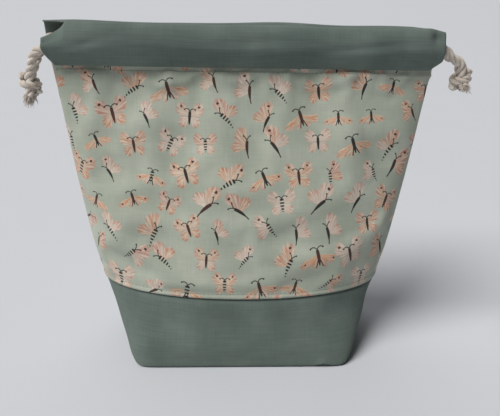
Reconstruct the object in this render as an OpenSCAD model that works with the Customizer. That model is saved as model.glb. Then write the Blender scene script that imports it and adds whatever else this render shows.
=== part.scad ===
// Drawstring project bag: boxed canvas base, printed cotton walls, a casing on
// each wall and two cotton ropes that draw the mouth shut from opposite sides.
// Frame: origin under the middle of the base, +X to the right, front at -Y, +Z up.

/* [Walls] */
// Flat width between the side seams at the casing seam
top_w = 300; // [280:5:320]
// Width of the boxed base
base_w = 178; // [150:2:190]
// Depth of the boxed base
base_d = 140; // [120:2:150]
// Height from the floor to the casing seam
wall_h = 230; // [210:5:250]
// Height of the canvas base panels
base_h = 56; // [44:2:70]
// Depth of the closed bag at the casing seam
neck_d = 13; // [12:0.5:16]

/* [Fabric] */
// Thickness of the canvas and of the printed cotton
outer_t = 1; // [0.8:0.1:1.2]
// Thickness of the foam interfacing
foam_t = 1.8; // [1.2:0.1:2]
// Thickness of the lining cotton
lining_t = 0.8; // [0.5:0.1:0.8]
// Air between one layer and the next
ply_gap = 0.25; // [0.15:0.05:0.3]

/* [Casings] */
// Length of each casing tube, end to end
casing_w = 303; // [285:1:325]
// Height of each casing tube
casing_h = 30; // [28:1:36]
// Thickness of each casing tube with its ropes inside
casing_t = 17.5; // [16:0.5:20]

/* [Drawcords] */
// Diameter of the rope
rope_d = 7; // [5:0.5:7.5]
// Distance from the exit to the hanging left knot, outwards and down
left_knot_drop = [10, 27.5]; // [6:0.5:40]
// Distance from the exit to the right knot, outwards and down
right_knot_drop = [16, 28]; // [6:0.5:40]

/* [Hidden] */
FRONT = -1;
BACK = 1;
LEFT = -1;
RIGHT = 1;

wall_cols = 24;          // facets round half a wall
flare_share = 0.59;      // share of the wall's flare that is straight
flare_power = 6;         // how soon the rest of the flare is spent
round_top = 2.1;         // superellipse power of the wall's section at the top
round_base = 7;          // what the square base adds to that power
round_fade = 12;         // how soon the corners turn round
floor_pinch = 0.9;       // length of the bottom seam as a share of the floor
side_seam_y = 1;         // the panels meet here, so that the origin lies on canvas
side_gap = 0.5;          // gap between the front and back panels
seam_gap = 0.3;          // gap between a panel and the one sewn above it
base_steps = 5;          // rows of facets up a base panel
wall_steps = 7;          // rows of facets up a wall, between its two topstitches

foam_in = outer_t + ply_gap;
lining_in = foam_in + foam_t + ply_gap;

thread_t = 0.4;          // height of a topstitch over the cloth
thread_w = 0.7;          // width of a topstitch
thread_off = 0.05;       // air under a topstitch
stitch_margin = 4;       // from the edge of a panel to its topstitch
low_stitch_z = base_h + stitch_margin;
high_stitch_z = wall_h - stitch_margin;

rope_r = rope_d / 2;
mouth_gap = 0.8;         // gap between the two casings
casing_y = (casing_t + mouth_gap) / 2;
casing_z = wall_h + seam_gap + casing_h / 2;
casing_end = casing_w / 2;
casing_power = 2.3;      // superellipse power of the casing's section
casing_cols = 32;        // facets round that section
crossing_head = 4.5;     // height of casing left over the place where a rope crosses
crossing_foot = 1.5;     // height of casing left under it
lane_gap = 8.5;          // height from the left rope's middle to the right rope's
lane_drop = 0.55;        // how far the pair of ropes lies below the casing's middle
left_lane_z = casing_z - lane_drop - lane_gap / 2;
right_lane_z = casing_z - lane_drop + lane_gap / 2;
turn_gap = 0.3;          // gap between a rope's turn and the end of the casings
bight_x = casing_end - casing_y - rope_r - turn_gap;
run_gap = 0.5;           // gap where one length of rope hands over to the next
exit_len = 4;            // rope from the casing's mouth to the point where it bends
ball_extra = 0.1;        // the bend is a ball just proud of the rope
bend_gap = 0.7;          // room for the hanging length to turn about that ball
knot_ring = 5.2;         // radius of the wraps' centre line
knot_rise = 3.3;         // height of each wrap over or under the knot's middle
knot_core = 5;           // radius of what the wraps go round
knot_rope_r = rope_r - 0.1;
strand_y = 3.5;          // the two strands lie this far each side of the knot's axis
tail_len = 14;           // from the knot's middle down to the cut ends
tail_lean = 0.5;         // how far the tails lean outwards
tail_splay = 1.5;        // how far each tail leans away from the other

// The size of the section at height z, from the floor up.
function rise(z) = z / wall_h;
function half_w(z) = base_w / 2 + (top_w - base_w) / 2
    * (flare_share * rise(z) + (1 - flare_share) * (1 - pow(1 - rise(z), flare_power)));
function half_d(z) = neck_d / 2 + (base_d - neck_d) / 2 * (1 - rise(z));
function section_power(z) = round_top + round_base * pow(1 - rise(z), round_fade);

// Radius of a unit superellipse of power n at angle a.
function unit_r(a, n) = pow(pow(abs(cos(a)), n) + pow(abs(sin(a)), n), -1 / n);

// A point of a wall or floor layer. spread is 0 on the bottom seam, 1 on the wall.
function layer_point(side, inset, z, spread, a) = let (
        zi = max(z, inset),
        r = unit_r(a, section_power(zi)),
        seam_y = side_seam_y + side * side_gap / 2,
        x = (half_w(zi) - inset) * cos(a) * r * (floor_pinch + (1 - floor_pinch) * spread),
        y = seam_y + (side * (half_d(zi) - inset) - seam_y) * sin(a) * r * spread)
    [x, y, zi];

function layer_grid(side, inset, stations) =
    [for (s = stations) [for (j = [0:wall_cols])
        layer_point(side, inset, s[0], s[1], 180 * j / wall_cols)]];

// A sheet with thickness between two grids of points.
module thick_sheet(outer, inner, flip) {
    rows = len(outer);
    cols = len(outer[0]);
    function id(layer, i, j) = (layer * rows + i) * cols + j;
    function quad(a, b, c, d) = [[a, b, c], [a, c, d]];
    faces = concat(
        [for (i = [0:rows - 2], j = [0:cols - 2])
            each quad(id(0, i, j), id(0, i + 1, j), id(0, i + 1, j + 1), id(0, i, j + 1))],
        [for (i = [0:rows - 2], j = [0:cols - 2])
            each quad(id(1, i, j), id(1, i, j + 1), id(1, i + 1, j + 1), id(1, i + 1, j))],
        [for (j = [0:cols - 2])
            each quad(id(0, 0, j), id(0, 0, j + 1), id(1, 0, j + 1), id(1, 0, j))],
        [for (j = [0:cols - 2])
            each quad(id(0, rows - 1, j + 1), id(0, rows - 1, j),
                      id(1, rows - 1, j), id(1, rows - 1, j + 1))],
        [for (i = [0:rows - 2])
            each quad(id(0, i + 1, 0), id(0, i, 0), id(1, i, 0), id(1, i + 1, 0))],
        [for (i = [0:rows - 2])
            each quad(id(0, i, cols - 1), id(0, i + 1, cols - 1),
                      id(1, i + 1, cols - 1), id(1, i, cols - 1))]);
    polyhedron(
        [for (grid = [outer, inner]) each [for (row = grid) each row]],
        [for (f = faces) flip ? f : [f[0], f[2], f[1]]]);
}

module layer(side, inset, t, stations) {
    thick_sheet(layer_grid(side, inset, stations),
                layer_grid(side, inset + t, stations), side == BACK);
}

// A station is a height and a spread. These run from the bottom seam, over the floor and up the panel.
base_stations = concat([for (spread = [0, 0.5, 1]) [0, spread]],
                       [for (k = [1:base_steps]) [base_h * k / base_steps, 1]]);

// A wall has a station at both edges of each topstitch, so that the stitches lie flat on its facets.
function stitch_edges(z) = [z - thread_w / 2, z + thread_w / 2];
wall_stations = let (
        low = stitch_edges(low_stitch_z),
        high = stitch_edges(high_stitch_z),
        span = high[0] - low[1])
    [for (z = concat([base_h + seam_gap], low,
                     [for (k = [1:wall_steps - 1]) low[1] + span * k / wall_steps],
                     high, [wall_h])) [z, 1]];

module base_panel(side) { color("darkseagreen") layer(side, 0, outer_t, base_stations); }
module base_foam(side) { color("white") layer(side, foam_in, foam_t, base_stations); }
module base_lining(side) { color("linen") layer(side, lining_in, lining_t, base_stations); }
module print_panel(side) { color("palegreen") layer(side, 0, outer_t, wall_stations); }
module wall_foam(side) { color("white") layer(side, foam_in, foam_t, wall_stations); }
module wall_lining(side) { color("linen") layer(side, lining_in, lining_t, wall_stations); }

// A line of topstitching along the cloth at height z.
module topstitch(side, z) {
    color("seagreen")
    layer(side, -thread_off - thread_t, thread_t, [for (edge = stitch_edges(z)) [edge, 1]]);
}

// Section of a casing, as [y, z] about its middle.
function casing_section(inset) = [for (k = [0:casing_cols - 1])
    let (a = 360 * k / casing_cols, r = unit_r(a, casing_power))
        [(casing_t / 2 - inset) * cos(a) * r, (casing_h / 2 - inset) * sin(a) * r]];

module casing_bar(inset, length) {
    rotate([90, 0, 90]) linear_extrude(length, center = true) polygon(casing_section(inset));
}

// A casing is open at both ends, and cut away on the mouth's side where a rope
// crosses from one casing to the other.
module casing(side) {
    crossing = casing_end - bight_x + 2 * rope_r;
    cut_low = casing_z - casing_h / 2 + crossing_foot;
    cut_high = casing_z + casing_h / 2 - crossing_head;
    color("darkseagreen")
    difference() {
        translate([0, side * casing_y, casing_z]) difference() {
            casing_bar(0, casing_w);
            casing_bar(outer_t, casing_w + 2);
        }
        for (end = [LEFT, RIGHT])
            translate([end * (casing_end - crossing / 2 + 1), side * casing_y / 2, (cut_low + cut_high) / 2])
                cube([crossing + 2, casing_y, cut_high - cut_low], center = true);
    }
}

module rod(from, to, r) {
    along = to - from;
    translate(from)
    rotate([0, acos(along.z / norm(along)), atan2(along.y, along.x)])
        cylinder(h = norm(along), r = r, $fn = 48);
}

// The rope's length inside one casing. end is the side where its knot hangs.
module rope_run(side, end, lane_z) {
    color("antiquewhite")
    rod([end * (casing_end - run_gap), side * casing_y, lane_z],
        [-end * (bight_x - run_gap), side * casing_y, lane_z], rope_r);
}

// The rope's turn from one casing into the other, far from its knot.
module rope_bight(end, lane_z) {
    color("antiquewhite")
    translate([-end * bight_x, 0, lane_z]) rotate([0, 0, end == LEFT ? -90 : 90])
        rotate_extrude(angle = 180, $fn = 64) translate([casing_y, 0]) circle(rope_r, $fn = 32);
}

exit_x = casing_end + run_gap;
pivot_x = exit_x + exit_len;

// Both strands where they leave the casings, as far as the bend.
module rope_exit(end, lane_z) {
    color("antiquewhite")
    rotate([0, 0, end == LEFT ? 180 : 0])
    for (y = [-casing_y, casing_y]) translate([exit_x, y, lane_z]) {
        rotate([0, 90, 0]) cylinder(h = exit_len, r = rope_r, $fn = 48);
        translate([exit_len, 0, 0]) sphere(rope_r + ball_extra, $fn = 48);
    }
}

// The strands past the bend, tied together in one knot with short cut tails.
module rope_knot(end, lane_z, drop) {
    knot = [end * drop[0], 0, -drop[1]];
    color("antiquewhite")
    translate([end * pivot_x, 0, lane_z]) union() {
        for (side = [FRONT, BACK]) {
            bend = [0, side * casing_y, 0];
            target = knot + [0, side * strand_y, knot_rise];
            start = bend + (target - bend) * (rope_r + bend_gap) / norm(target - bend);
            rod(start, target, rope_r);
            rod(knot + [0, side * strand_y, 0],
                knot + [end * tail_lean, side * (strand_y + tail_splay), -tail_len], knot_rope_r);
        }
        translate(knot) {
            cylinder(h = 2 * knot_rise + rope_r, r = knot_core, center = true, $fn = 48);
            for (up = [-1, 1]) translate([0, 0, up * knot_rise])
                rotate_extrude($fn = 64) translate([knot_ring, 0]) circle(knot_rope_r, $fn = 32);
        }
    }
}

base_panel(FRONT);  // base_panel_front
base_panel(BACK);  // base_panel_back
base_foam(FRONT);  // base_interfacing_front
base_foam(BACK);  // base_interfacing_back
base_lining(FRONT);  // base_lining_front
base_lining(BACK);  // base_lining_back
print_panel(FRONT);  // print_panel_front
print_panel(BACK);  // print_panel_back
wall_foam(FRONT);  // wall_interfacing_front
wall_foam(BACK);  // wall_interfacing_back
wall_lining(FRONT);  // wall_lining_front
wall_lining(BACK);  // wall_lining_back
casing(FRONT);  // casing_front
casing(BACK);  // casing_back
topstitch(FRONT, low_stitch_z);  // base_topstitch_front
topstitch(BACK, low_stitch_z);  // base_topstitch_back
topstitch(FRONT, high_stitch_z);  // casing_topstitch_front
topstitch(BACK, high_stitch_z);  // casing_topstitch_back
rope_run(FRONT, LEFT, left_lane_z);  // left_cord_front_run
rope_run(BACK, LEFT, left_lane_z);  // left_cord_back_run
rope_bight(LEFT, left_lane_z);  // left_cord_bight
rope_exit(LEFT, left_lane_z);  // left_cord_exit
rope_knot(LEFT, left_lane_z, left_knot_drop);  // left_cord_knot
rope_run(FRONT, RIGHT, right_lane_z);  // right_cord_front_run
rope_run(BACK, RIGHT, right_lane_z);  // right_cord_back_run
rope_bight(RIGHT, right_lane_z);  // right_cord_bight
rope_exit(RIGHT, right_lane_z);  // right_cord_exit
rope_knot(RIGHT, right_lane_z, right_knot_drop);  // right_cord_knot
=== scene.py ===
"""A drawstring knitting bag: canvas base and casings, printed walls and two knotted cotton ropes."""

import math

import bpy
import numpy as np
from mathutils import Matrix, Vector


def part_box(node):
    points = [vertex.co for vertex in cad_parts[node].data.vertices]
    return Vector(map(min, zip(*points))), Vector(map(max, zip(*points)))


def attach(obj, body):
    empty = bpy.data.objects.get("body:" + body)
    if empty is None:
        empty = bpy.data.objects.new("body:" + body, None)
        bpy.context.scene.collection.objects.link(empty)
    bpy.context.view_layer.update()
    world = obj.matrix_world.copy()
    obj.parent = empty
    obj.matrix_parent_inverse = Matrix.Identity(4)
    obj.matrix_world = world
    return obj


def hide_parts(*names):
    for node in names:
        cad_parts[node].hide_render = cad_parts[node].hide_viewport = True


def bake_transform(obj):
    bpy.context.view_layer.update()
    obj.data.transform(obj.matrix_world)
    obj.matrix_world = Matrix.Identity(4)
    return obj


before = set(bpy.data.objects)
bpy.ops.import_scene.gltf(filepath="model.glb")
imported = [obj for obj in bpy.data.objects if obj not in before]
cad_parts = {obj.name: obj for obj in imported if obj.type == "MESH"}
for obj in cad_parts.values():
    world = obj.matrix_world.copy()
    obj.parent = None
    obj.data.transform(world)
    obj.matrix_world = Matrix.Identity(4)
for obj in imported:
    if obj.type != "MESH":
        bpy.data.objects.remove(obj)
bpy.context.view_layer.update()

MM = 0.001
FRONT, BACK = -1, 1
LEFT, RIGHT = -1, 1
WALL_NAMES = {FRONT: "front", BACK: "back"}
END_NAMES = {LEFT: "left", RIGHT: "right"}


# ---------------- sizes that the frame gives

panel_lo, panel_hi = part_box("print_panel_front")
casing_lo, casing_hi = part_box("casing_front")
seam_z = panel_lo.z
top_z = panel_hi.z
casing_end = casing_hi.x
casing_mid = (casing_lo + casing_hi) / 2
casing_size = casing_hi - casing_lo

# Between the floor and this height the CAD base has rows of points on its inner face only.
INNER_ROWS = 5 * MM


def cad_rows():
    """Heights of the rows of points in the CAD walls, with the half width and half depth at each."""
    rows = {}
    for name in ("base_panel_back", "print_panel_back"):
        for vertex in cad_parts[name].data.vertices:
            x, y, z = vertex.co
            if 0.2 * MM < z < INNER_ROWS:
                continue
            width, depth = rows.get(round(z, 4), (0, 0))
            rows[round(z, 4)] = (max(width, abs(x)), max(depth, y))
    heights = sorted(rows)
    return np.array(heights), *np.array([rows[z] for z in heights]).T


row_z, row_w, row_d = cad_rows()
half_width = np.polynomial.Polynomial.fit(row_z, row_w, 6)
half_depth = np.polynomial.Polynomial.fit(row_z, row_d, 1)

# The walls' section is a superellipse, rounder higher up. It is squarer at the floor than the CAD's.
ROUND_TOP, ROUND_BASE, ROUND_FADE = 2.1, 18, 20
FLOOR_TUCK = 3.4 * MM  # how far each end of the floor draws in, fading to nothing at the canvas seam
LOOP_STEPS = 721


def section_power(z):
    """The superellipse's power at height z. A higher power gives squarer corners."""
    return ROUND_TOP + ROUND_BASE * np.clip(1 - z / top_z, 0, 1) ** ROUND_FADE


# ---------------- numbers and curves


def smooth(t):
    """0 up to t = 0, 1 from t = 1, and an even S between them."""
    t = np.clip(t, 0, 1)
    return t * t * (3 - 2 * t)


def bump(t):
    """1 at t = 0, falling to nothing past t = 2 on either side."""
    return np.exp(-t * t)


def ripple(seed, u, v, size, lean=1.0, waves=20):
    """A smooth random field of about unit height.

    size is a wave's length. lean above 1 flattens the waves, and below 1 draws them out upwards.
    """
    rng = np.random.default_rng(seed)
    total = 0
    for _ in range(waves):
        way = rng.uniform(0, math.tau)
        pace = math.tau / size * rng.uniform(0.5, 1.3)
        along = u * math.cos(way) + v * lean * math.sin(way)
        total = total + np.sin(pace * along + rng.uniform(0, math.tau))
    return total / math.sqrt(waves / 2)


def unit(way):
    """The direction with a length of 1."""
    return way / np.linalg.norm(way)


def running_length(path):
    """The length of a path up to each of its points."""
    return np.concatenate([[0], np.cumsum(np.linalg.norm(np.diff(path, axis=0), axis=1))])


def normals(points):
    """Unit normals of a grid of points."""
    across = np.gradient(points, axis=1)
    up = np.gradient(points, axis=0)
    normal = np.cross(across, up)
    return normal / np.maximum(np.linalg.norm(normal, axis=2, keepdims=True), 1e-12)


def half_loop(side, z, cols, inset):
    """Half the bag's section at height z, from the left seam to the right.

    Gives x, y and the run from the middle.
    """
    angle = np.linspace(math.pi, 0, LOOP_STEPS)
    power = section_power(z)
    reach = (np.abs(np.cos(angle)) ** power + np.abs(np.sin(angle)) ** power) ** (-1 / power)
    drawn_in = FLOOR_TUCK * np.clip(1 - z / seam_z, 0, 1)
    x = (half_width(z) - inset - drawn_in) * np.cos(angle) * reach
    y = (half_depth(z) - inset) * np.sin(angle) * reach
    run = np.concatenate([[0], np.cumsum(np.hypot(np.diff(x), np.diff(y)))])
    stops = np.linspace(0, run[-1], cols)
    return np.interp(stops, run, x), side * np.interp(stops, run, y), stops - run[-1] / 2


# ---------------- meshes


def add_object(name, data):
    made = bpy.data.objects.new(name, data)
    bpy.context.scene.collection.objects.link(made)
    return made


def add_mesh(name, points, faces, cloth=None):
    """A smooth mesh. cloth holds each point's place on the flat cloth, in metres, for the materials."""
    mesh = bpy.data.meshes.new(name)
    mesh.from_pydata(points.reshape(-1, 3).tolist(), [], [list(f) for f in faces])
    mesh.validate()
    mesh.shade_smooth()
    if cloth is not None:
        flat = np.zeros((len(mesh.vertices), 3), np.float32)
        flat[:, : cloth.shape[-1]] = cloth.reshape(-1, cloth.shape[-1])
        mesh.attributes.new("cloth", "FLOAT_VECTOR", "POINT").data.foreach_set("vector", flat.ravel())
    return add_object(name, mesh)


def grid_faces(rows, cols, wrap=False, flip=False):
    """Quads over a grid of points. wrap joins the last column to the first."""
    i, j = np.meshgrid(np.arange(rows - 1), np.arange(cols if wrap else cols - 1), indexing="ij")
    right = (j + 1) % cols
    quads = np.stack([i * cols + j, i * cols + right, (i + 1) * cols + right, (i + 1) * cols + j], -1)
    quads = quads.reshape(-1, 4)
    return (quads[:, ::-1] if flip else quads).tolist()


def tube_faces(rings, sides):
    """The faces of a closed tube of rings of points: its quads and both end caps."""
    faces = grid_faces(rings, sides, wrap=True)
    faces.append(list(range(sides))[::-1])
    faces.append([(rings - 1) * sides + j for j in range(sides)])
    return faces


def solidify(piece, thickness):
    """Gives a sheet its thickness, inwards from its face."""
    shell = piece.modifiers.new("thickness", "SOLIDIFY")
    shell.thickness = thickness
    shell.offset = -1.0
    shell.use_even_offset = False


def mesh_points(piece):
    points = np.zeros(len(piece.data.vertices) * 3, np.float32)
    piece.data.vertices.foreach_get("co", points)
    return points.reshape(-1, 3).astype(float)


def lean(piece, side):
    """Bakes the piece's placement into its mesh and works out each point's reach from the middle towards the
    side seams. Nothing uses the reach, so the piece does not lean.
    """
    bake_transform(piece)
    points = mesh_points(piece)
    reach = np.abs(points[:, 0]) / half_width(np.clip(points[:, 2], 0, top_z))


def finish_piece(piece, material, slot, *nodes):
    """Gives a piece its material and hides the CAD nodes that it stands for. Its slot is not used."""
    piece.data.materials.append(material)
    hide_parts(*nodes)
    return piece


def cloth_piece(name, side, points, cloth, thickness, material, slot, node):
    """A grid of points as a piece of cloth on one side of the bag."""
    rows, cols = points.shape[:2]
    faces = grid_faces(rows, cols, flip=side == BACK)
    piece = add_mesh(f"{name}_{WALL_NAMES[side]}", points, faces, cloth)
    solidify(piece, thickness)
    return finish_piece(piece, material, slot, f"{node}_{WALL_NAMES[side]}")


# ---------------- material building


def feed(tree, value, socket):
    """Sends a field or a plain number into a socket."""
    if isinstance(value, Field):
        tree.links.new(value.socket, socket)
    else:
        socket.default_value = value


def makes(operation):
    """A method of a field that makes one math node."""
    return lambda field, *others: field.math(operation, *others)


class Field:
    """A number that a node tree works out at each point, written with ordinary arithmetic."""

    def __init__(self, tree, socket):
        self.tree = tree
        self.socket = socket

    def math(self, operation, *others):
        node = self.tree.nodes.new("ShaderNodeMath")
        node.operation = operation
        for value, socket in zip((self, *others), node.inputs):
            feed(self.tree, value, socket)
        return Field(self.tree, node.outputs[0])

    __add__ = __radd__ = makes("ADD")
    __sub__ = makes("SUBTRACT")
    __mul__ = __rmul__ = makes("MULTIPLY")
    __truediv__ = makes("DIVIDE")
    abs = makes("ABSOLUTE")
    floor = makes("FLOOR")
    fract = makes("FRACT")
    sin = makes("SINE")
    cos = makes("COSINE")
    sqrt = makes("SQRT")
    power = makes("POWER")
    angle = makes("ARCTAN2")  # y.angle(x) is the direction of the point (x, y)
    above = makes("GREATER_THAN")
    below = makes("LESS_THAN")
    most = makes("MAXIMUM")

    def __rsub__(self, other):
        return (self * -1.0) + other

    def ramp(self, low, high):
        """0 at low and 1 at high, with an even S between them. low may be above high."""
        node = self.tree.nodes.new("ShaderNodeMapRange")
        node.interpolation_type = "SMOOTHSTEP"
        feed(self.tree, self, node.inputs["Value"])
        ends = (high, low, 1.0, 0.0) if low > high else (low, high, 0.0, 1.0)
        for name, value in zip(("From Min", "From Max", "To Min", "To Max"), ends):
            node.inputs[name].default_value = value
        return Field(self.tree, node.outputs["Result"])


class Paint:
    """A material under construction: its coordinates, textures, colours and bump."""

    def __init__(self, name):
        self.material = bpy.data.materials.new(name)
        self.material.use_nodes = True
        self.tree = self.material.node_tree
        self.link = self.tree.links.new
        self.shader = self.tree.nodes["Principled BSDF"]

    def field(self, socket):
        return Field(self.tree, socket)

    def node(self, kind, **settings):
        node = self.tree.nodes.new(kind)
        for key, value in settings.items():
            setattr(node, key, value)
        return node

    def cloth(self):
        """The place on the flat cloth, in millimetres, as two fields."""
        read = self.node("ShaderNodeAttribute", attribute_name="cloth")
        split = self.node("ShaderNodeSeparateXYZ")
        self.link(read.outputs["Vector"], split.inputs[0])
        return [self.field(socket) * 1000.0 for socket in split.outputs[:2]]

    def vector(self, x, y, z=0.0):
        join = self.node("ShaderNodeCombineXYZ")
        for value, socket in zip((x, y, z), join.inputs):
            feed(self.tree, value, socket)
        return join.outputs[0]

    def noise(self, at, size, detail=2.0, rough=0.5):
        """Smooth noise from 0 to 1 with features of that size, in the units of at."""
        node = self.node("ShaderNodeTexNoise")
        node.inputs["Scale"].default_value = 1.0 / size
        node.inputs["Detail"].default_value = detail
        node.inputs["Roughness"].default_value = rough
        self.link(at, node.inputs["Vector"])
        return self.field(node.outputs[0])

    def randoms(self, at):
        """Three random numbers from 0 to 1 for each value of at."""
        node = self.node("ShaderNodeTexWhiteNoise", noise_dimensions="3D")
        self.link(at, node.inputs["Vector"])
        split = self.node("ShaderNodeSeparateColor")
        self.link(node.outputs["Color"], split.inputs[0])
        return [self.field(socket) for socket in split.outputs[:3]]

    def mix(self, share, low, high):
        """A colour between low and high. Each is a colour socket or three numbers."""
        node = self.node("ShaderNodeMix", data_type="RGBA")
        self.link(share.socket, node.inputs["Factor"])
        for value, socket in ((low, node.inputs[6]), (high, node.inputs[7])):
            if isinstance(value, bpy.types.NodeSocket):
                self.link(value, socket)
            else:
                socket.default_value = (*value, 1.0)
        return node.outputs[2]

    def shade(self, colour, factor):
        """The colour times a factor."""
        node = self.node("ShaderNodeVectorMath", operation="SCALE")
        self.link(colour, node.inputs[0])
        self.link(factor.socket, node.inputs["Scale"])
        return node.outputs[0]

    def finish(self, colour, height, height_mm, rough, sheen, sheen_tint=(1, 1, 1)):
        """Sets colour, bump of that height in millimetres, roughness and the sheen of loose fibres."""
        self.link(colour, self.shader.inputs["Base Color"])
        raised = self.node("ShaderNodeBump")
        raised.inputs["Strength"].default_value = 1.0
        raised.inputs["Distance"].default_value = height_mm * MM
        self.link(height.socket, raised.inputs["Height"])
        self.link(raised.outputs[0], self.shader.inputs["Normal"])
        settings = {"Roughness": rough, "Specular IOR Level": 0.25, "Sheen Weight": sheen,
                    "Sheen Roughness": 0.5, "Sheen Tint": (*sheen_tint, 1.0)}
        for name, value in settings.items():
            self.shader.inputs[name].default_value = value
        return self.material


def distance(x, y):
    return (x * x + y * y).sqrt()


def plain_weave(u, v, pitch):
    """Height of a plain weave, 0 to 1: each thread passes over one and under the next."""
    warp = (u * (math.pi / pitch)).sin()
    weft = (v * (math.pi / pitch)).sin()
    over = warp * weft
    warp_top = warp.abs().sqrt() * over.ramp(-0.6, 0.6)
    weft_top = weft.abs().sqrt() * over.ramp(0.6, -0.6)
    return warp_top.most(weft_top)


def canvas_material(name, base, worn, pitch=0.9):
    """Dyed cotton canvas: plain weave, thread to thread colour changes, slubs and pale wear."""
    paint = Paint(name)
    u, v = paint.cloth()
    flat = paint.vector(u, v)
    warp_streak = paint.noise(paint.vector(u, v * 0.03), 0.8, 1.0)
    weft_streak = paint.noise(paint.vector(u * 0.04, v), 1.2, 2.0)
    cloud = paint.noise(flat, 38.0, 3.0)
    fuzz = paint.noise(flat, 0.35, 2.0)
    weave = plain_weave(u, v, pitch)
    tone = 0.56 + 0.22 * warp_streak + 0.38 * weft_streak + 0.24 * cloud + 0.14 * weave - 0.08 * fuzz
    colour = paint.mix(cloud.ramp(0.35, 0.75) * 0.35 + weave * fuzz * 0.25, base, worn)
    height = weave + 0.35 * fuzz + 0.3 * (warp_streak + weft_streak)
    return paint.finish(paint.shade(colour, tone), height, 0.11, 0.86, 0.35, worn)


# ---------------- the moth and butterfly print

PRINT_PITCH = (29.0, 43.0)  # two layers with one insect to a cell make staggered rows 21.5 mm apart
GROUND = (0.37, 0.405, 0.33)
GROUND_WORN = (0.47, 0.50, 0.425)
INK = (0.010, 0.005, 0.005)
MAROON = (0.050, 0.009, 0.008)
ROSE = (0.50, 0.26, 0.20)
PEACH = (0.56, 0.31, 0.20)
PALE_PINK = (0.64, 0.51, 0.44)
CREAM = (0.68, 0.60, 0.49)
CORAL = (0.50, 0.15, 0.075)
ORANGE = (0.60, 0.24, 0.085)
RUST = (0.30, 0.09, 0.05)


def wing(x, y, aim, spread, length, skew):
    """A fan-shaped wing that grows from the origin.

    Gives how near its rim a point lies (1 on the rim), its place across the wing (-1 to 1), its place out
    along the wing, and the wing's mask.
    """
    across = (y.angle(x) - aim) / spread
    reach = (1.0 - across * across).most(0.0001).power(0.30) * length * (1.0 + skew * across)
    away = distance(x, y)
    nearness = away / reach
    return nearness, across, away / length, nearness.ramp(1.06, 0.86) * across.abs().below(1.0)


def wing_paint(paint, shape, base, tip, column):
    """Water-colour on a wing: brush streaks and veins that run out from the root, darker towards the rim."""
    nearness, across, along, _ = shape
    streak = paint.noise(paint.vector(across * 4.5, along * 1.3, column), 1.0, 2.0)
    veins = (across * 13.0).cos().ramp(0.78, 0.97) * along.ramp(0.15, 0.35)
    colour = paint.mix(streak.ramp(0.36, 0.60) * 0.75, base, CREAM)
    colour = paint.mix(nearness.ramp(0.50, 1.05) * streak.ramp(0.62, 0.38) * 0.85, colour, tip)
    return paint.mix(veins * 0.36, colour, RUST)


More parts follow.
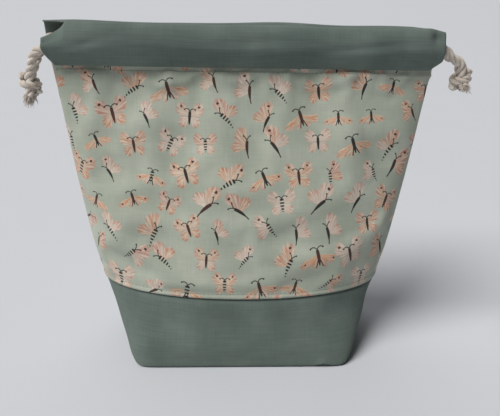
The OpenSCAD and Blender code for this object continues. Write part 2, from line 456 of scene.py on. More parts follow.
def insects(paint, u, v, seed):
    """One layer of insects: a list of (mask, colour) to lay over the ground in turn."""
    row = (v / PRINT_PITCH[1]).floor()
    column = (u / PRINT_PITCH[0]).floor()
    shift_x, shift_y, turn = paint.randoms(paint.vector(column, row, seed + 0.5))
    kind, size, hue = paint.randoms(paint.vector(column, row, seed + 7.5))
    dots, stripes, second_hue = paint.randoms(paint.vector(column, row, seed + 13.5))
    # The kind chooses between wings spread flat, wings swept back and an insect seen from its side.
    swept = kind.above(0.34) * kind.below(0.48)
    sideways = kind.above(0.48)
    facing = 1.0 - 2.0 * sideways * hue.above(0.5)

    cell_x = ((u / PRINT_PITCH[0]).fract() - 0.5) * PRINT_PITCH[0] - (shift_x - 0.5) * (3.0 + 3.0 * sideways)
    cell_y = ((v / PRINT_PITCH[1]).fract() - 0.5) * PRINT_PITCH[1] - (shift_y - 0.5) * 6.0
    angle = (turn - 0.5) * (0.9 + 1.5 * sideways)
    scale = 0.80 + 0.36 * size
    x = (cell_x * angle.cos() + cell_y * angle.sin()) / scale * facing + 4.5 * sideways
    y = (cell_y * angle.cos() - cell_x * angle.sin()) / scale

    mirrored = x.abs() * (1.0 - sideways) + x * sideways
    own_side = mirrored.above(0.0)
    wobble = paint.noise(paint.vector(x, y, column), 2.6, 2.0)
    rough_x = mirrored + (wobble - 0.5) * 2.4
    rough_y = y + (wobble - 0.5) * 1.9
    fore = wing(rough_x, rough_y - 0.8, 0.50 - 1.02 * swept + 0.45 * sideways,
                0.70 - 0.34 * swept, 13.2 + 1.4 * swept + 1.4 * sideways, 0.20)
    hind = wing(rough_x, rough_y + 0.6, -0.60 - 0.38 * swept + 0.70 * sideways,
                0.70 - 0.40 * swept - 0.06 * sideways, 10.3 - 1.6 * swept + 1.6 * sideways, -0.14)
    wash = paint.noise(paint.vector(x, y, row), 3.0, 3.0)
    soft = own_side * (0.62 + 0.38 * wash.ramp(0.25, 0.55))
    fore_base = paint.mix(hue.ramp(0.30, 0.40), ROSE, PEACH)
    fore_base = paint.mix(second_hue.ramp(0.54, 0.64), fore_base, PALE_PINK)
    fore_base = paint.mix(swept * 0.8, fore_base, ORANGE)
    hind_base = paint.mix(second_hue.ramp(0.40, 0.50), PEACH, PALE_PINK)
    fore_colour = wing_paint(paint, fore, fore_base, ROSE, column)
    hind_colour = wing_paint(paint, hind, hind_base, CORAL, column)

    bend = x + 0.016 * y * y * sideways
    middle = (y - 0.6) * 0.15
    taper = (0.42 + 0.72 * (1.0 - middle * middle).most(0.0)) * (1.0 + 0.45 * stripes.above(0.58))
    body = (bend.abs() / taper).ramp(1.25, 0.85)
    body = body * (y + 6.8 + 2.7 * sideways).ramp(0.0, 0.8) * y.ramp(4.2, 3.7)
    rings = (y * 2.6).sin().ramp(-0.30, 0.20)
    body = body * (1.0 - stripes.above(0.58) * y.below(2.4) * (1.0 - rings))
    legs = (x.abs() + y * 0.33).abs().ramp(0.55, 0.25) * y.below(-0.5) * y.above(-7.5) * swept

    curl = 2.6 + 2.4 * sideways
    feeler_end = 4.4 - 1.8 * sideways
    feeler_y = y - 3.4
    feelers = (distance(x.abs() - curl, feeler_y) - curl).abs().ramp(0.50, 0.22)
    feelers = feelers * feeler_y.above(0.0) * x.abs().below(feeler_end)
    knob = distance(x.abs() - feeler_end, y - 5.3 - 2.5 * sideways).ramp(0.75, 0.50)

    _, fore_across, fore_along, fore_mask = fore
    eye = distance((fore_along - 0.76) * 12.0, (fore_across - 0.35) * 5.0).ramp(0.85, 0.6)
    eye = eye * dots.above(0.45) * own_side
    ink = paint.mix(stripes.ramp(0.26, 0.22), INK, MAROON)
    return [(hind[3] * soft, hind_colour), (fore_mask * soft, fore_colour),
            (body.most(legs) * 0.95, ink), (feelers.most(eye).most(knob) * 0.9, INK)]


def print_material(name):
    """Pale sage cotton with moths and butterflies in water-colour pinks and oranges."""
    paint = Paint(name)
    u, v = paint.cloth()
    flat = paint.vector(u, v)
    colour = paint.mix(paint.noise(flat, 30.0, 3.0).ramp(0.3, 0.8), GROUND, GROUND_WORN)
    layers = insects(paint, u, v, 0.0) + insects(paint, u + PRINT_PITCH[0] / 2, v + PRINT_PITCH[1] / 2, 31.0)
    for mask, tint in layers:
        colour = paint.mix(mask, colour, tint)
    weave = plain_weave(u, v, 0.6)
    thread = paint.noise(paint.vector(u, v * 0.04), 0.7, 1.0)
    thread = thread + paint.noise(paint.vector(u * 0.04, v), 0.7, 1.0)
    tone = 0.74 + 0.18 * thread + 0.10 * weave
    return paint.finish(paint.shade(colour, tone), weave + 0.3 * thread, 0.06, 0.80, 0.20)


def rope_material(name):
    """Undyed cotton: soft yarns that run round each strand, with painted shade in the grooves between them.
    """
    paint = Paint(name)
    u, v = paint.cloth()
    yarn = paint.noise(paint.vector(u + v * 0.35, v * 0.06), 0.55, 3.0, 0.6)
    fluff = paint.noise(paint.vector(u, v), 1.3, 3.0)
    tint = paint.noise(paint.vector(u, v), 9.0, 2.0)
    colour = paint.mix(tint.ramp(0.3, 0.7), (0.64, 0.54, 0.45), (0.86, 0.79, 0.70))
    # Painted shade: the tone falls towards 0.40 where the yarn noise is low, darkening the grooves between
    # yarns.
    tone = 0.40 + 0.66 * yarn + 0.20 * fluff
    return paint.finish(paint.shade(colour, tone), yarn + 0.5 * fluff, 0.30, 0.92, 0.5)


def thread_material(name, base):
    """Twisted sewing thread with a slight shine."""
    paint = Paint(name)
    u, v = paint.cloth()
    twist = ((u * 5.0 + v * 9.0).sin() + 1.0) * 0.5
    colour = paint.mix(twist, tuple(0.75 * c for c in base), tuple(1.15 * c for c in base))
    return paint.finish(colour, twist, 0.05, 0.55, 0.3)


def foam_material(name):
    """White non-woven interfacing."""
    paint = Paint(name)
    u, v = paint.cloth()
    fibre = paint.noise(paint.vector(u, v), 1.0, 4.0, 0.7)
    colour = paint.mix(fibre, (0.70, 0.70, 0.68), (0.82, 0.82, 0.80))
    return paint.finish(colour, fibre, 0.3, 0.95, 0.2)


CANVAS_DYE = (0.100, 0.130, 0.116)
CANVAS_WORN = (0.190, 0.225, 0.200)
LINING_DYE = (0.60, 0.56, 0.48)
LINING_WORN = (0.68, 0.65, 0.58)
THREAD_DYE = (0.34, 0.40, 0.32)

canvas = canvas_material("sage_canvas", CANVAS_DYE, CANVAS_WORN)
lining_cotton = canvas_material("lining_cotton", LINING_DYE, LINING_WORN, 0.7)
moth_print = print_material("moth_print")
rope_cotton = rope_material("rope_cotton")
sage_thread = thread_material("sage_thread", THREAD_DYE)
foam = foam_material("interfacing")


# ---------------- the walls and the base

OUTER_T = 1.0 * MM
FOAM_INSET, FOAM_T = 1.5 * MM, 1.4 * MM
LINING_INSET, LINING_T = 3.5 * MM, 0.7 * MM
SEAM_TUCK = 1.6 * MM  # how far a panel turns in at a side seam
SEAM_TUCK_RUN = 3.0 * MM
SEAM_SAG, SEAM_SAG_RUN = 2.2 * MM, 45 * MM  # the canvas seam hangs lowest in the middle
FLOOR_ROUND = 2.6 * MM  # radius of the fold round the floor
SEAM_SHARE = 0.9  # length of the seam along the floor as a share of the floor
WALL_COLS, WALL_ROWS = 181, 100
BASE_COLS = 161
FLOOR_ROWS, FOLD_ROWS, RISE_ROWS = 14, 7, 34  # over the floor, round its fold and up the low wall
INNER_WALL_COLS, INNER_WALL_ROWS = 121, 60
INNER_BASE_COLS = 81
INNER_START = 9 * MM  # how far above the canvas seam a wall's hidden layers start
WALL_LAP = 2 * MM  # how far the print runs up into the casing
BASE_LAP = 6 * MM  # how far the canvas runs up behind the print
STITCH_LINE = 4 * MM  # the stitches' distance from a seam
BACK_PRINT_SHIFT = 0.4  # metres up the print, so that the back shows another stretch of it


def sag_seam(points, u, v, share=1):
    """Lowers the cloth near the canvas seam, most in the middle of the wall."""
    drop = SEAM_SAG * (1 - np.clip(np.abs(u) / np.abs(u[:, -1:]), 0, 1) ** 2)
    points[..., 2] -= drop * smooth(1 - np.abs(v - seam_z) / SEAM_SAG_RUN) * share


def wall_grid(side, heights, cols, inset):
    """Points and cloth places of a wall between heights given at its side seams."""
    points, cloth = [], []
    for z in heights:
        x, y, u = half_loop(side, z, cols, inset)
        points.append(np.stack([x, y, np.full(cols, z)], 1))
        cloth.append(np.stack([u, np.full(cols, z)], 1))
    return np.array(points), np.array(cloth)


def tuck_side_seams(points, u):
    """Turns the edges of a panel in towards the bag, which makes the valley of a sewn seam."""
    edge = np.abs(u[:, -1:]) - np.abs(u)
    points[..., 0] -= np.sign(u) * SEAM_TUCK * bump(edge / SEAM_TUCK_RUN)


def outward_normals(points, side):
    return normals(points) * -side


def push(points, amount, side):
    """Moves a wall's points outwards."""
    return points + outward_normals(points, side) * amount[..., None]


SIM_COLS, SIM_ROWS, SIM_FRAMES = 81, 49, 24
SIM_GROWTH = 0.009  # how much larger the loose cloth is than the outline it is sewn to
FOAM_HOLD = 0.12  # how firmly the foam behind it holds the cloth, where 1 is pinned


def hang_cloth(side):
    """How far a wall's points move outwards when slightly too large a cloth is sewn in at its four edges.

    The cloth solver finds it. It starts from a faint ripple, so that the cloth can choose its folds.
    """
    points, cloth = wall_grid(side, np.linspace(seam_z, top_z, SIM_ROWS), SIM_COLS, 0)
    faint = 0.3 * MM * ripple(71 + side, cloth[..., 0], cloth[..., 1], 55 * MM)
    faces = grid_faces(SIM_ROWS, SIM_COLS, flip=side == BACK)
    sheet = add_mesh("loose_cloth", push(points, faint, side), faces)
    index = np.arange(SIM_ROWS * SIM_COLS).reshape(SIM_ROWS, SIM_COLS)
    edges = np.concatenate([index[0], index[-1], index[:, 0], index[:, -1]])
    held = sheet.vertex_groups.new(name="held")
    held.add(index.ravel().tolist(), FOAM_HOLD, "REPLACE")
    held.add(edges.tolist(), 1.0, "REPLACE")
    solver = sheet.modifiers.new("cloth", "CLOTH")
    settings = {"quality": 5, "mass": 0.01, "tension_stiffness": 25, "compression_stiffness": 25,
                "shear_stiffness": 10, "bending_stiffness": 12, "pin_stiffness": 1.0, "air_damping": 3,
                "shrink_min": -SIM_GROWTH, "vertex_group_mass": "held"}
    for key, value in settings.items():
        setattr(solver.settings, key, value)
    solver.point_cache.frame_end = SIM_FRAMES
    for step in range(1, SIM_FRAMES + 1):
        bpy.context.scene.frame_set(step)
    bpy.context.view_layer.objects.active = sheet
    bpy.ops.object.modifier_apply(modifier=solver.name)
    moves = mesh_points(sheet).reshape(points.shape) - points
    bpy.data.objects.remove(sheet)
    bpy.context.scene.frame_set(1)
    return (moves * outward_normals(points, side)).sum(2)


def cubic_weights(at, count):
    """A matrix that reads a row of count values at fractional places, on a smooth curve through them."""
    base = np.clip(np.floor(at).astype(int), 0, count - 2)
    t = at - base
    weights = np.zeros((len(at), count))
    parts = (-0.5 * t + t ** 2 - 0.5 * t ** 3, 1 - 2.5 * t ** 2 + 1.5 * t ** 3,
             0.5 * t + 2 * t ** 2 - 1.5 * t ** 3, -0.5 * t ** 2 + 0.5 * t ** 3)
    for step, part in enumerate(parts):
        np.add.at(weights, (np.arange(len(at)), np.clip(base + step - 1, 0, count - 1)), part)
    return weights


FOLD_OUT, FOLD_IN = 3.0 * MM, 1.6 * MM  # how far a fold may reach outwards, and inwards to the foam

loose_moves = {side: hang_cloth(side) for side in (FRONT, BACK)}


def settled(side, heights, cols):
    """The solver's folds at the points of another grid of the same wall, kept within their limits."""
    if side not in loose_moves:
        return 0
    share = (np.clip(heights, seam_z, top_z) - seam_z) / (top_z - seam_z)
    rows = cubic_weights(share * (SIM_ROWS - 1), SIM_ROWS)
    columns = cubic_weights(np.linspace(0, SIM_COLS - 1, cols), SIM_COLS)
    folds = rows @ loose_moves[side] @ columns.T
    limit = np.where(folds > 0, FOLD_OUT, FOLD_IN)
    return limit * np.tanh(folds / limit)


# Broad bulges where the wall is pressed out: middle, height, spreads along and up, and depth.
BULGES = MM * np.array([
    (-4, 136, 56, 20, 5.2), (-104, 106, 30, 22, 3.4), (74, 104, 38, 24, 3.0), (-66, 188, 36, 10, 2.0),
    (98, 184, 38, 13, 2.0), (12, 82, 60, 12, 1.8), (-128, 160, 16, 30, 1.4)])
# Swags that hang from the casing's seam: middle, half length, drop and depth.
SWAGS = MM * np.array([(-62, 30, 14, 2.4), (-8, 24, 9, 1.5), (58, 34, 12, 1.8), (112, 20, 15, 1.5)])


def drape(side, u, v, folds):
    """Outward push of the wall's cloth: slack under the casing, folds and a gentle belly."""
    below = top_z - v
    edge = smooth((np.abs(u[:, -1:]) - np.abs(u)) / (30 * MM))
    seams = smooth(below / (5 * MM)) * smooth((v - seam_z) / (12 * MM))
    slack = ripple(11 + side, u, v, 62 * MM, 0.8) * 0.6 * MM
    pucker = ripple(23 + side, u, v, 15 * MM, 0.35) * 0.55 * MM * bump(below / (20 * MM))
    belly = 2.2 * MM * bump((v - 0.45 * top_z) / (70 * MM)) * bump(u / (110 * MM))
    place = -side * u  # both walls look the same from outside
    for middle, high, spread, tall, height in BULGES:
        belly = belly + height * bump((place - middle) / spread) * bump((v - high) / tall)
    swags = 0
    for middle, spread, drop, height in SWAGS:
        along = (place - middle) / spread
        curve = below - drop * np.clip(1 - along ** 2, 0, 1)
        profile = bump(curve / (4.5 * MM)) - 0.6 * bump((curve - 8 * MM) / (5 * MM))
        swags = swags + height * bump(along) * profile
    return (folds + slack + belly + pucker + swags) * edge * seams


def draped_wall(side, heights, cols, inset, relief=0):
    """A layer of a wall, draped. relief is an extra outward push, worked out from the layer's heights."""
    points, cloth = wall_grid(side, heights, cols, inset)
    u, v = cloth[..., 0], cloth[..., 1]
    outward = drape(side, u, np.minimum(v, top_z), settled(side, heights, cols)) + relief
    points = push(points, outward, side)
    tuck_side_seams(points, u)
    sag_seam(points, u, v)
    return points, cloth


def print_wall(side):
    """The printed panel, with the fold that overlaps the canvas and the dents of its two rows of stitches.

    At the front right a ridge of the print stands out under the casing instead of the upper dent.
    """
    heights = np.linspace(seam_z, top_z + WALL_LAP, WALL_ROWS)
    v = heights[:, None]
    fold = 0.7 * MM * bump((v - seam_z) / (3.2 * MM))
    fold = fold - 0.55 * MM * bump((v - seam_z - STITCH_LINE) / (1.0 * MM))
    dent = -0.5 * MM * bump((v - top_z + STITCH_LINE) / (1.2 * MM))
    right = smooth((np.linspace(-1, 1, WALL_COLS)[None, :] - 0.35) / 0.35) * (side == FRONT)
    ridge = 1.1 * MM * bump((v - top_z + 5.5 * MM) / (1.8 * MM)) * right
    points, cloth = draped_wall(side, heights, WALL_COLS, 0, fold + dent * (1 - right) + ridge)
    cloth = cloth + np.array([0.0, 0.0 if side == FRONT else BACK_PRINT_SHIFT])
    piece = cloth_piece("print_cotton", side, points, cloth, OUTER_T,
                        moth_print, "printed_cotton", "print_panel")
    lean(piece, side)


def base_rows():
    """The base panel's rows from the floor's middle outwards and up: height, inset and share of the floor."""
    rows = [(0.0, FLOOR_ROUND, share) for share in np.linspace(0, 1, FLOOR_ROWS)]
    for angle in np.linspace(0, math.pi / 2, FOLD_ROWS)[1:]:
        rows.append((FLOOR_ROUND * (1 - math.cos(angle)), FLOOR_ROUND * (1 - math.sin(angle)), 1.0))
    for z in np.linspace(FLOOR_ROUND, seam_z + BASE_LAP, RISE_ROWS)[1:]:
        rows.append((z, 0.0, 1.0))
    return rows


def base_grid(side, inset, cols):
    """Points and cloth places of half the base: half the floor and the low wall above it."""
    points, cloth = [], []
    run = 0.0
    last = None
    for z, fold_inset, share in base_rows():
        x, y, u = half_loop(side, max(z, inset), cols, inset + fold_inset)
        seam_x = SEAM_SHARE * x[-1] * np.linspace(-1, 1, cols)
        row = np.stack([seam_x * (1 - share) + x * share, y * share, np.full(cols, max(z, inset))], 1)
        middle = row[cols // 2]
        run += 0.0 if last is None else float(np.linalg.norm(middle - last))
        last = middle
        points.append(row)
        cloth.append(np.stack([u, np.full(cols, run)], 1))
    return np.array(points), np.array(cloth)


FOLD_LIFT, FOLD_AT = 2.2 * MM, 66 * MM  # the floor's edge lifts in a small fold near the front right corner


def draped_base(side, inset, cols):
    """A layer of half the base, with the canvas's slack and the hang of its seam."""
    points, cloth = base_grid(side, inset, cols)
    u, v = cloth[..., 0], cloth[..., 1]
    z = points[..., 2]
    up = smooth((z - 2 * MM) / (14 * MM))
    under_print = 1.3 * MM * smooth((z - seam_z + 4 * MM) / (4 * MM))
    slack = ripple(31 + side, u, v, 45 * MM, 0.9) * 0.8 * MM * up * smooth((seam_z - z) / (10 * MM))
    edge = smooth((np.abs(u[:, -1:]) - np.abs(u)) / (20 * MM))
    points = push(points, slack * edge - under_print, side)
    tuck_side_seams(points, u)
    sag_seam(points, u, z, up)
    if side == FRONT:
        shares = np.array([share for _, _, share in base_rows()])[:, None]
        fold = bump((u - FOLD_AT) / (5 * MM)) * shares ** 8 * smooth(1 - z / (10 * MM))
        points[..., 2] += FOLD_LIFT * fold
        points[..., 1] -= 0.5 * FOLD_LIFT * fold
    points[..., 2] = np.maximum(points[..., 2], inset)
    return points, cloth


def canvas_base(side):
    points, cloth = draped_base(side, 0, BASE_COLS)
    piece = cloth_piece("base_canvas", side, points, cloth, OUTER_T, canvas, "canvas", "base_panel")
    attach(piece, "root")


# The hidden layers: name in the CAD and material slot, name here, inset, thickness and material.
INNER_LAYERS = (
    ("interfacing", "foam", FOAM_INSET, FOAM_T, foam),
    ("lining", "lining_cotton", LINING_INSET, LINING_T, lining_cotton),
)


def inner_base(side, kind, name, inset, thickness, material):
    """A hidden layer of half the base."""
    points, cloth = draped_base(side, inset, INNER_BASE_COLS)
    piece = cloth_piece(f"base_{name}", side, points, cloth, thickness, material, kind, f"base_{kind}")
    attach(piece, "root")


def inner_wall(side, kind, name, inset, thickness, material):
    """A hidden layer of a wall."""
    heights = np.linspace(seam_z + INNER_START, top_z, INNER_WALL_ROWS)
    points, cloth = draped_wall(side, heights, INNER_WALL_COLS, inset)
    piece = cloth_piece(f"wall_{name}", side, points, cloth, thickness, material, kind, f"wall_{kind}")
    lean(piece, side)


for side in (FRONT, BACK):
    print_wall(side)
    canvas_base(side)
    for layer in INNER_LAYERS:
        inner_base(side, *layer)
    for layer in INNER_LAYERS:
        inner_wall(side, *layer)


# ---------------- the casings

CASING_COLS, CASING_ROUND = 261, 64
CASING_POWER = 2.3  # the tube's section is a superellipse of this power
MOUTH_CUT = 28 * MM  # the casing's mouth side stops short, where a rope crosses
FOOT_CUT = 8 * MM  # its foot turns in to the side seam
END_DEPTH = 4 * MM  # how far its face draws back towards the side seam
# How the top of each end caves in: how deep, from how far in, and how sharply it starts (under 1 is sharper).
END_DIPS = {
    (FRONT, LEFT): (11 * MM, 18 * MM, 0.55),
    (FRONT, RIGHT): (2 * MM, 10 * MM, 1.0),
    (BACK, LEFT): (0.5 * MM, 20 * MM, 1.0),
    (BACK, RIGHT): (1.5 * MM, 20 * MM, 1.0),
}
DENT_DEPTH, DENT_FROM_END = 3.0 * MM, 7 * MM  # a dent beside the front casing's right end
# Creases along the front casing's face: middle, height as a share, slope, length and depth in millimetres.
CREASES = ((88, 0.05, 0.25, 38, 1.3), (126, -0.40, -0.2, 16, 1.8), (-60, -0.20, -0.12, 45, 0.9),
           (12, 0.30, 0.08, 32, 0.9), (-118, 0.10, 0.3, 18, 1.0))
BACK_LEFT_REACH = 3 * MM  # the back casing stands out further at the left


def casing_points(side):
    """A puffed tube, as rows along X and columns round its section, and the cloth places."""
    t = np.linspace(-1, 1, CASING_COLS)[:, None]
    round_angle = np.linspace(0, math.tau, CASING_ROUND, endpoint=False)[None, :]
    out, up = -np.sin(round_angle), -np.cos(round_angle)
    reach = (np.abs(out) ** CASING_POWER + np.abs(up) ** CASING_POWER) ** (-1 / CASING_POWER)
    out, up = out * reach, up * reach
    end = casing_end + (BACK_LEFT_REACH if side == BACK else 0) * (t < 0)
    left_foot = np.clip((-up - 0.15) / 0.85, 0, 1) ** 1.6
    right_foot = np.clip((-up - 0.50) / 0.50, 0, 1) ** 1.2
    end = end - MOUTH_CUT * smooth(-out * 1.5 - 0.15) - FOOT_CUT * np.where(t < 0, left_foot, right_foot)
    x = t * end
    depth = casing_size.y / 2 * out
    height = casing_size.z / 2 * up
    foot = smooth(-up)
    depth = depth * (1 - 0.42 * foot * (out > 0)) - 1.6 * MM * foot
    depth = depth + 0.9 * MM * ripple(51 + side, x, height, 70 * MM, 0.5) * smooth(out)
    gather = 0.25 * MM * ripple(53 + side, x, height, 16 * MM, 0.3)
    depth = depth + gather * bump((up + 0.75) / 0.3) * smooth(out * 2)
    for middle, high, slope, length, deep in CREASES:
        along = (x - middle * MM) / (length * MM)
        depth = depth - deep * MM * bump((up - high - slope * along) / 0.22) * bump(along) * (side == FRONT)
    height = height + 0.5 * MM * ripple(57 + side, x, 0, 90 * MM) * smooth(up)
    from_end = casing_end - np.abs(x)
    for end_side in (LEFT, RIGHT):
        deep, length, sharpness = END_DIPS[side, end_side]
        near = np.clip(1 - from_end / length, 0, 1) ** sharpness * (np.sign(x) == end_side)
        height = height - deep * near * smooth((up + 0.3) / 1.2)
    depth = depth - END_DEPTH * smooth(1 - from_end / (26 * MM)) * smooth(out)
    dent = DENT_DEPTH * bump((from_end - DENT_FROM_END) / (4 * MM)) * bump((up - 0.62) / 0.28) * (x > 0)
    depth = depth - dent * (side == FRONT)
    points = np.stack([x, side * (abs(casing_mid.y) + depth), casing_mid.z + height], 2)
    girth = round_angle * (casing_size.y + casing_size.z) / 4
    return points, np.stack(np.broadcast_arrays(x, girth), 2)


for side in (FRONT, BACK):
    points, cloth = casing_points(side)
    faces = grid_faces(CASING_COLS, CASING_ROUND, wrap=True, flip=side == FRONT)
    casing = add_mesh(f"casing_canvas_{WALL_NAMES[side]}", points, faces, cloth)
    solidify(casing, OUTER_T)
    finish_piece(casing, canvas, "canvas", f"casing_{WALL_NAMES[side]}")
    lean(casing, side)


# ---------------- stitches

STITCH_LEN, STITCH_GAP, STITCH_R = 2.7 * MM, 0.7 * MM, 0.30 * MM
STITCH_RISE, STITCH_SINK = 0.40 * MM, 0.2 * MM  # a stitch's arch, and how deep its ends lie in the cloth
STITCH_MARGIN = 4 * MM  # cloth without stitches at each side seam
STITCH_RINGS, STITCH_SIDES, STITCH_PATH_COLS = 5, 6, 1201


def stitch_row(name, side, z):
    """A line of separate stitches that dip into the cloth at both ends."""
    heights = z + np.array([-1, 0, 1]) * MM
    points, cloth = draped_wall(side, heights, STITCH_PATH_COLS, 0.2 * MM)
    path, u = points[1], cloth[1, :, 0]
    half_run = abs(u[-1])
    pitch = STITCH_LEN + STITCH_GAP
    ring = np.linspace(0, math.tau, STITCH_SIDES, endpoint=False)
    steps = np.linspace(0, 1, STITCH_RINGS)
    points, faces, cloth = [], [], []
    for k in range(int((2 * half_run - 2 * STITCH_MARGIN) / pitch)):
        start = -half_run + STITCH_MARGIN + k * pitch
        stops = start + steps * STITCH_LEN
        middle = np.stack([np.interp(stops, u, path[:, a]) for a in range(3)], 1)
        along = unit(middle[-1] - middle[0])
        outward = unit(np.cross(along, (0, 0, 1)) * -side)
        upward = np.cross(outward, along)
        circle = np.cos(ring)[:, None] * outward + np.sin(ring)[:, None] * upward
        base = len(points) * STITCH_SIDES
        for share, place in zip(steps, middle):
            arch = math.sin(math.pi * share)
            radius = STITCH_R * (0.45 + 0.55 * arch)
            points.append(place + outward * (STITCH_RISE * arch - STITCH_SINK) + radius * circle)
            cloth.append(np.stack([ring * STITCH_R, np.full(STITCH_SIDES, start + share * STITCH_LEN)], 1))
        faces += [[base + corner for corner in face] for face in tube_faces(STITCH_RINGS, STITCH_SIDES)]
    piece = add_mesh(name.replace("topstitch", "stitches"), np.array(points), faces, np.array(cloth))
    finish_piece(piece, sage_thread, "thread", name)
    lean(piece, side)


for side in (FRONT, BACK):
    stitch_row(f"base_topstitch_{WALL_NAMES[side]}", side, seam_z + STITCH_LINE)
    stitch_row(f"casing_topstitch_{WALL_NAMES[side]}", side, top_z - STITCH_LINE)


# ---------------- ropes

ROPE_R = (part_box("left_cord_front_run")[1].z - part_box("left_cord_front_run")[0].z) / 2
ROPE_LAY = 19 * MM  # length in which a strand goes once round the rope
STRAND_SIDES = 10
CURVE_STEPS = 24  # points between two control points of a curve


def curve_through(points, spacing):
    """Evenly spaced points on a smooth curve through the given ones."""
    points = np.array(points, float)
    padded = np.concatenate([[2 * points[0] - points[1]], points, [2 * points[-1] - points[-2]]])
    fine = []
    for k in range(len(points) - 1):
        a, b, c, d = padded[k : k + 4]
        t = np.linspace(0, 1, CURVE_STEPS, endpoint=False)[:, None]
        bent = (2 * a - 5 * b + 4 * c - d) * t ** 2 + (3 * b - a - 3 * c + d) * t ** 3
        fine.append(0.5 * (2 * b + (c - a) * t + bent))
    fine = np.concatenate(fine + [points[-1:]])
    run = running_length(fine)
    stops = np.linspace(0, run[-1], max(4, int(run[-1] / spacing)))
    return np.stack([np.interp(stops, run, fine[:, a]) for a in range(3)], 1), stops


def frames_along(path):
    """Two steady directions across a path at each of its points."""
    tangent = np.gradient(path, axis=0)
    tangent /= np.linalg.norm(tangent, axis=1, keepdims=True)
    first = np.zeros_like(path)
    guess = np.array([0.0, 0.0, 1.0]) if abs(tangent[0][2]) < 0.9 else np.array([0.0, 1.0, 0.0])
    for k, way in enumerate(tangent):
        guess = unit(guess - way * guess.dot(way))
        first[k] = guess
    return first, np.cross(tangent, first)


def tube(path, radius, sides):
    """Points, faces and cloth places of a closed tube. radius is one number or one for each point."""
    first, second = frames_along(path)
    ring = np.linspace(0, math.tau, sides, endpoint=False)
    radius = np.broadcast_to(radius, len(path))
    offsets = np.cos(ring)[None, :, None] * first[:, None] + np.sin(ring)[None, :, None] * second[:, None]
    points = path[:, None] + radius[:, None, None] * offsets
    cloth = np.stack(np.broadcast_arrays(ring[None, :] * radius.max(), running_length(path)[:, None]), 2)
    return points.reshape(-1, 3), tube_faces(len(path), sides), cloth.reshape(-1, 2)


class Bundle:
    """Collects tubes into one mesh."""

    def __init__(self):
        self.points, self.faces, self.cloth, self.count = [], [], [], 0

    def add(self, points, faces, cloth):
        self.points.append(points)
        self.cloth.append(cloth)
        self.faces += [[self.count + f for f in face] for face in faces]
        self.count += len(points)

    def rope(self, controls, radius=ROPE_R, phase=0.0, lay=ROPE_LAY):
        """A three-strand rope along a smooth curve through the control points."""
        path, run = curve_through(controls, 1.1 * MM)
        first, second = frames_along(path)
        strand_r = 0.47 * radius
        offset = 0.54 * radius
        for k in range(3):
            turn = math.tau * (run / lay + k / 3) + phase
            centre = path + offset * (np.cos(turn)[:, None] * first + np.sin(turn)[:, None] * second)
            self.add(*tube(centre, strand_r, STRAND_SIDES))

    def piece(self, name, *nodes):
        made = add_mesh(name, np.concatenate(self.points), self.faces, np.concatenate(self.cloth))
        return finish_piece(made, rope_cotton, "rope", *nodes)


def fray(bundle, root, way, count, length, spread, rng):
    """Loose fibres at a cut end."""
    way = unit(way)
    for _ in range(count):
        start = np.array(root) + rng.uniform(-1, 1, 3) * spread
        heading = way + rng.normal(0, 0.30, 3)
        reach = length * rng.uniform(0.6, 1.15)
        bend = rng.normal(0, 0.22, 3)
        steps = np.linspace(0, 1, 5)[:, None]
        path = start + heading * reach * steps + bend * reach * steps ** 2
        bundle.add(*tube(path, np.linspace(0.34, 0.10, 5) * MM, 4))


# Where each knot's cut ends come out, from the knot's middle, and which way they point.
TAIL_ENDS = {LEFT: (0.5, -1.0, -9.5), RIGHT: (2.0, -3.0, -5.0)}
TAIL_WAYS = {LEFT: (0.15, -0.1, -1.0), RIGHT: (0.3, -0.7, -0.5)}
FRAY_LENGTHS = {LEFT: 4.6 * MM, RIGHT: 2.6 * MM}
FRAY_COUNT, FRAY_SPREAD = 110, 2.9 * MM
EXIT_DROPS = {LEFT: 0, RIGHT: 4 * MM}  # how far below the CAD's rope each rope leaves its casings
KNOT_HALF_WIDTH = 8.6 * MM
KNOT_HEIGHT = 15.5 * MM  # the knot's middle above the lowest point of the CAD's knot
# The turns round the knot: radius, rise to either side of its middle, tilt, and where they start and end.
WRAP_R, WRAP_RISE, WRAP_TILT = 5.3 * MM, 4.3 * MM, 2.0 * MM
WRAP_TURNS, WRAP_POINTS = (-0.15, 1.60), 17


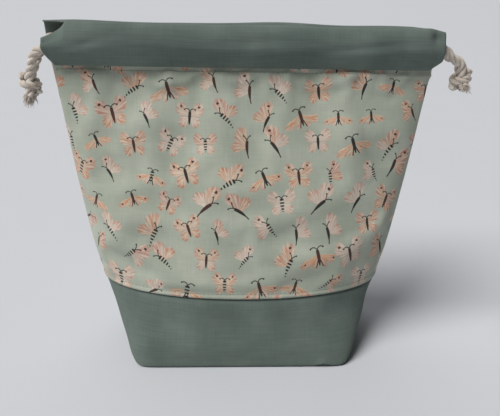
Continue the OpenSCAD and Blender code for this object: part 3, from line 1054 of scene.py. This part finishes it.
def hang(end):
    """Both strands from the casings' mouths to the knot, the knot and the cut ends, as one rope."""
    name = END_NAMES[end]
    out = end * MM  # a millimetre away from the bag
    exit_lo, exit_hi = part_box(f"{name}_cord_exit")
    knot_lo, knot_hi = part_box(f"{name}_cord_knot")
    lane_z = (exit_lo.z + exit_hi.z) / 2
    pivot_x = (exit_hi.x if end == RIGHT else exit_lo.x) - end * ROPE_R
    knot_x = (knot_hi.x if end == RIGHT else knot_lo.x) - end * KNOT_HALF_WIDTH
    knot_z = knot_lo.z + KNOT_HEIGHT
    knot = np.array([knot_x, 0.0, knot_z])
    rng = np.random.default_rng(5 + end)
    drop = EXIT_DROPS[end]
    bundle = Bundle()
    tail = np.array(TAIL_ENDS[end]) * (end, 1, 1) * MM
    for side in (FRONT, BACK):
        y = side * abs(casing_mid.y)
        cut = knot + tail + np.array([0, side * 3.6 * MM, 0])
        # From inside the casing, out at its mouth, down to the knot and through it.
        bundle.rope([
            (pivot_x - 34 * out, y, lane_z),
            (pivot_x - 14 * out, y, lane_z),
            (pivot_x - 2.0 * out, y, lane_z + 0.2 * MM - drop),
            (pivot_x + 3.6 * out, y * 0.82, lane_z - 5 * MM - drop),
            (knot_x - 3.2 * out, side * 4.4 * MM, (lane_z + knot_z) / 2),
            (knot_x - 0.5 * out, side * 3.2 * MM, knot_z + 6 * MM),
            (knot_x, side * 2.8 * MM, knot_z - 1 * MM),
            tuple(cut),
        ], radius=ROPE_R * 1.05, phase=1.1 * side)
        tail_way = np.array(TAIL_WAYS[end]) * (end, 1, 1)
        fray(bundle, cut, tail_way, FRAY_COUNT, FRAY_LENGTHS[end], FRAY_SPREAD, rng)
    angle = np.linspace(*WRAP_TURNS, WRAP_POINTS) * math.tau
    lift = np.linspace(WRAP_RISE, -WRAP_RISE, WRAP_POINTS) + WRAP_TILT * np.cos(angle)
    wrap = knot + np.stack([end * WRAP_R * np.cos(angle), 0.95 * WRAP_R * np.sin(angle), lift], 1)
    bundle.rope(wrap, lay=ROPE_LAY * 0.9)
    piece = bundle.piece(f"{name}_drawcord_knot", f"{name}_cord_exit", f"{name}_cord_knot")
    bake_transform(piece)


BIGHT_LAP = 3 * MM  # how far the visible turn runs on into the casings past the CAD's
# A visible run stops short of the CAD's by the turn and by the knot, whose pieces reach into the casing.
FAR_STOP, NEAR_STOP = 5 * MM, 26 * MM


def bight(end):
    """The rope's turn from one casing into the other at the side away from its knot."""
    name = END_NAMES[end]
    lo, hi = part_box(f"{name}_cord_bight")
    lane_z = (lo.z + hi.z) / 2
    middle_x = hi.x if end == RIGHT else lo.x
    tip = (lo.x if end == RIGHT else hi.x) + end * ROPE_R
    reach = abs(casing_mid.y)
    ring = [(tip + end * reach * (1 - math.cos(a)), reach * math.sin(a), lane_z)
            for a in np.linspace(-math.pi / 2, math.pi / 2, 9)]
    start_x = middle_x + end * BIGHT_LAP
    bundle = Bundle()
    bundle.rope([(start_x, -reach, lane_z), *ring, (start_x, reach, lane_z)])
    piece = bundle.piece(f"{name}_drawcord_bight", f"{name}_cord_bight")
    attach(piece, f"{name}_cord")


def run(end, side):
    """The rope inside one casing, between the hanging ends and the far turn."""
    node = f"{END_NAMES[end]}_cord_{WALL_NAMES[side]}_run"
    lo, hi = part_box(node)
    middle = (lo + hi) / 2
    stop_lo, stop_hi = (FAR_STOP, NEAR_STOP) if end == RIGHT else (NEAR_STOP, FAR_STOP)
    bundle = Bundle()
    bundle.rope([(x, middle.y, middle.z) for x in np.linspace(lo.x + stop_lo, hi.x - stop_hi, 9)])
    piece = bundle.piece(f"{END_NAMES[end]}_drawcord_{WALL_NAMES[side]}_run", node)
    lean(piece, side)


for end in (LEFT, RIGHT):
    hang(end)
    bight(end)
    for side in (FRONT, BACK):
        run(end, side)


# ---------------- floor, light and camera


def plain_material(name, colour):
    paint = Paint(name)
    place = paint.node("ShaderNodeNewGeometry").outputs["Position"]
    grain = paint.noise(place, 0.15, 2.0)
    shade = paint.mix(grain, tuple(0.97 * c for c in colour), colour)
    return paint.finish(shade, grain, 0.05, 0.7, 0.0)


FLOOR_REACH = 60.0  # metres, so that its edge lies at the horizon
FLOOR_GAP = 0.4 * MM  # air under the bag


def stage_floor():
    mesh = bpy.data.meshes.new("floor")
    corners = [(x * FLOOR_REACH, y * FLOOR_REACH, 0) for x, y in ((-1, -1), (1, -1), (1, 1), (-1, 1))]
    mesh.from_pydata(corners, [], [(0, 1, 2, 3)])
    floor = add_object("floor", mesh)
    floor.location.z = -FLOOR_GAP
    floor.data.materials.append(plain_material("floor", (0.60, 0.615, 0.65)))


def soft_light(name, toward, softness, strength, colour=(1, 1, 1)):
    """A far soft light in the direction toward. softness is the angle that it fills, in degrees."""
    data = bpy.data.lights.new(name, "SUN")
    data.angle = math.radians(softness)
    data.energy = strength
    data.color = colour
    light = add_object(name, data)
    light.rotation_mode = "QUATERNION"
    light.rotation_quaternion = Vector(toward).to_track_quat("Z", "Y")


def studio_world():
    """A dim even room, behind a pale backdrop that only the camera sees."""
    world = bpy.data.worlds.new("studio")
    world.use_nodes = True
    nodes, links = world.node_tree.nodes, world.node_tree.links
    room = nodes["Background"]
    backdrop = nodes.new("ShaderNodeBackground")
    choose = nodes.new("ShaderNodeMixShader")
    room.inputs[0].default_value = (0.80, 0.82, 0.85, 1)
    room.inputs[1].default_value = 0.07
    backdrop.inputs[0].default_value = (0.66, 0.67, 0.69, 1)
    links.new(nodes.new("ShaderNodeLightPath").outputs["Is Camera Ray"], choose.inputs[0])
    links.new(room.outputs[0], choose.inputs[1])
    links.new(backdrop.outputs[0], choose.inputs[2])
    links.new(choose.outputs[0], nodes["World Output"].inputs[0])
    bpy.context.scene.world = world


CAMERA_PLACE = (-0.0153, -0.4763, 0.2935)
CAMERA_TILT, CAMERA_TURN, CAMERA_ROLL = math.radians(20.9), math.radians(-2.65), math.radians(1.24)
CAMERA_LENS = 43.2

stage_floor()
soft_light("key", (-0.62, -0.42, 1.0), 35, 3.2, (1.0, 0.99, 0.97))
soft_light("rim", (-0.2, 0.9, 1.0), 60, 0.7)
studio_world()
bpy.context.scene.view_settings.view_transform = "Standard"

camera_data = bpy.data.cameras.new("camera")
camera_data.lens = CAMERA_LENS
camera_data.clip_start = 0.01
camera = add_object("camera", camera_data)
camera.matrix_world = (
    Matrix.Translation(CAMERA_PLACE)
    @ Matrix.Rotation(CAMERA_TURN, 4, "Z")
    @ Matrix.Rotation(math.pi / 2 - CAMERA_TILT, 4, "X")
    @ Matrix.Rotation(CAMERA_ROLL, 4, "Z")
)
bpy.context.scene.camera = camera
